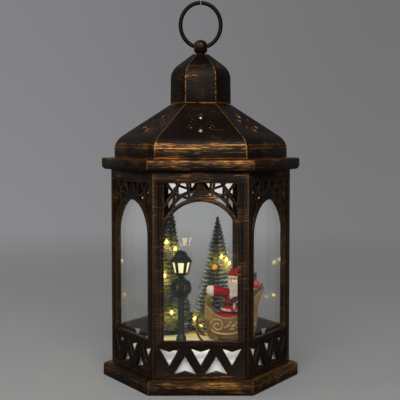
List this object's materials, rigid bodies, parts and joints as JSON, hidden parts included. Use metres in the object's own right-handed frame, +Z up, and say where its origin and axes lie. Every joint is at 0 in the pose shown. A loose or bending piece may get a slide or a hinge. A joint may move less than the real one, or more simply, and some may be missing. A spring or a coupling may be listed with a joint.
{
  "type": "christmas led lantern",
  "caption": "Six-sided lantern with pierced arched windows over a lit snow scene, tented roof, battery box in the base and a swinging carrying ring on top.",
  "frame": {"origin": "centre of the base's underside, on the surface it stands on", "axes": "+Z up along the lantern's axis; -Y is the front wall, the one the picture looks at"},
  "size_m": [0.158, 0.1368, 0.2991],
  "materials": {
    "housing": "moulded plastic painted dark bronze, with gold dry-brushed over edges and rails",
    "window": "clear, polished",
    "carrying_ring": "dark bronze, satin",
    "black_plastic": "fine grain",
    "cell_jacket": "plain satin jacket, bright ends",
    "plated_steel": "zinc plated",
    "circuit_board": "green lacquer",
    "snow": "sparkling snow flock",
    "lamp_paint": "dark grey, satin",
    "lit_glass": "frosted, lit from inside",
    "evergreen": "dark green, rough",
    "bow": "dark red",
    "bristles": "grey-green bristles, frosted",
    "light_wire": "thin enamelled wire with warm white lights",
    "gold_paint": "aged gold",
    "red_paint": "painted, satin",
    "white_paint": "painted, rough like fur",
    "skin_paint": "painted, satin",
    "black_paint": "painted, satin",
    "sack_paint": "painted like coarse cloth",
    "teal_paint": "painted, satin"
  },
  "bodies": {
    "housing": {"base_plinth": "housing", "battery_box": "black_plastic", "battery_cell_1": "cell_jacket", "battery_cell_2": "cell_jacket", "battery_cell_3": "cell_jacket", "contact_left": "plated_steel", "contact_right": "plated_steel", "box_screw_1": "plated_steel", "box_screw_2": "plated_steel", "switch_body": "black_plastic", "timer_board": "circuit_board", "panel_front": "housing", "pane_front": "window", "panel_front_right": "housing", "pane_front_right": "window", "panel_back_right": "housing", "pane_back_right": "window", "panel_back": "housing", "pane_back": "window", "panel_back_left": "housing", "pane_back_left": "window", "panel_front_left": "housing", "pane_front_left": "window", "cornice": "housing", "roof_shell": "housing", "cupola": "housing", "finial_ball": "housing", "finial_nut": "plated_steel", "snow_ground": "snow", "lamp_post": "lamp_paint", "lamp_cage": "lamp_paint", "lamp_cap": "lamp_paint", "lamp_glass": "lit_glass", "lamp_wreath": "evergreen", "wreath_bow": "bow", "tree_left": "bristles", "tree_right": "bristles", "light_string_left": "light_wire", "light_string_right": "light_wire", "sleigh_body": "gold_paint", "sleigh_runner_front": "gold_paint", "sleigh_runner_back": "gold_paint", "rider_legs": "red_paint", "rider_coat": "red_paint", "rider_cuff": "white_paint", "rider_mitten": "black_paint", "rider_head": "skin_paint", "rider_beard": "white_paint", "rider_hat": "red_paint", "hat_band": "white_paint", "gift_sack": "sack_paint", "gift_box": "teal_paint", "gift_ball": "red_paint", "sleigh_garland": "evergreen", "tree_bauble": "gold_paint"},
    "ring": {"ring_handle": "carrying_ring"},
    "door": {"battery_door": "black_plastic"},
    "knob": {"switch_knob": "black_plastic"}
  },
  "joints": [
    {"name": "ring_swing", "type": "hinge", "parent": "housing", "child": "ring", "pos_m": [0, 0, 0.2625], "axis": [1, 0, 0], "range_deg": [-120, 120]},
    {"name": "door_slide", "type": "slide", "parent": "housing", "child": "door", "axis": [1, 0, 0], "range_m": [0, 0.01]},
    {"name": "switch_slide", "type": "slide", "parent": "housing", "child": "knob", "axis": [1, 0, 0], "range_m": [-0.002, 0.002]}
  ]
}
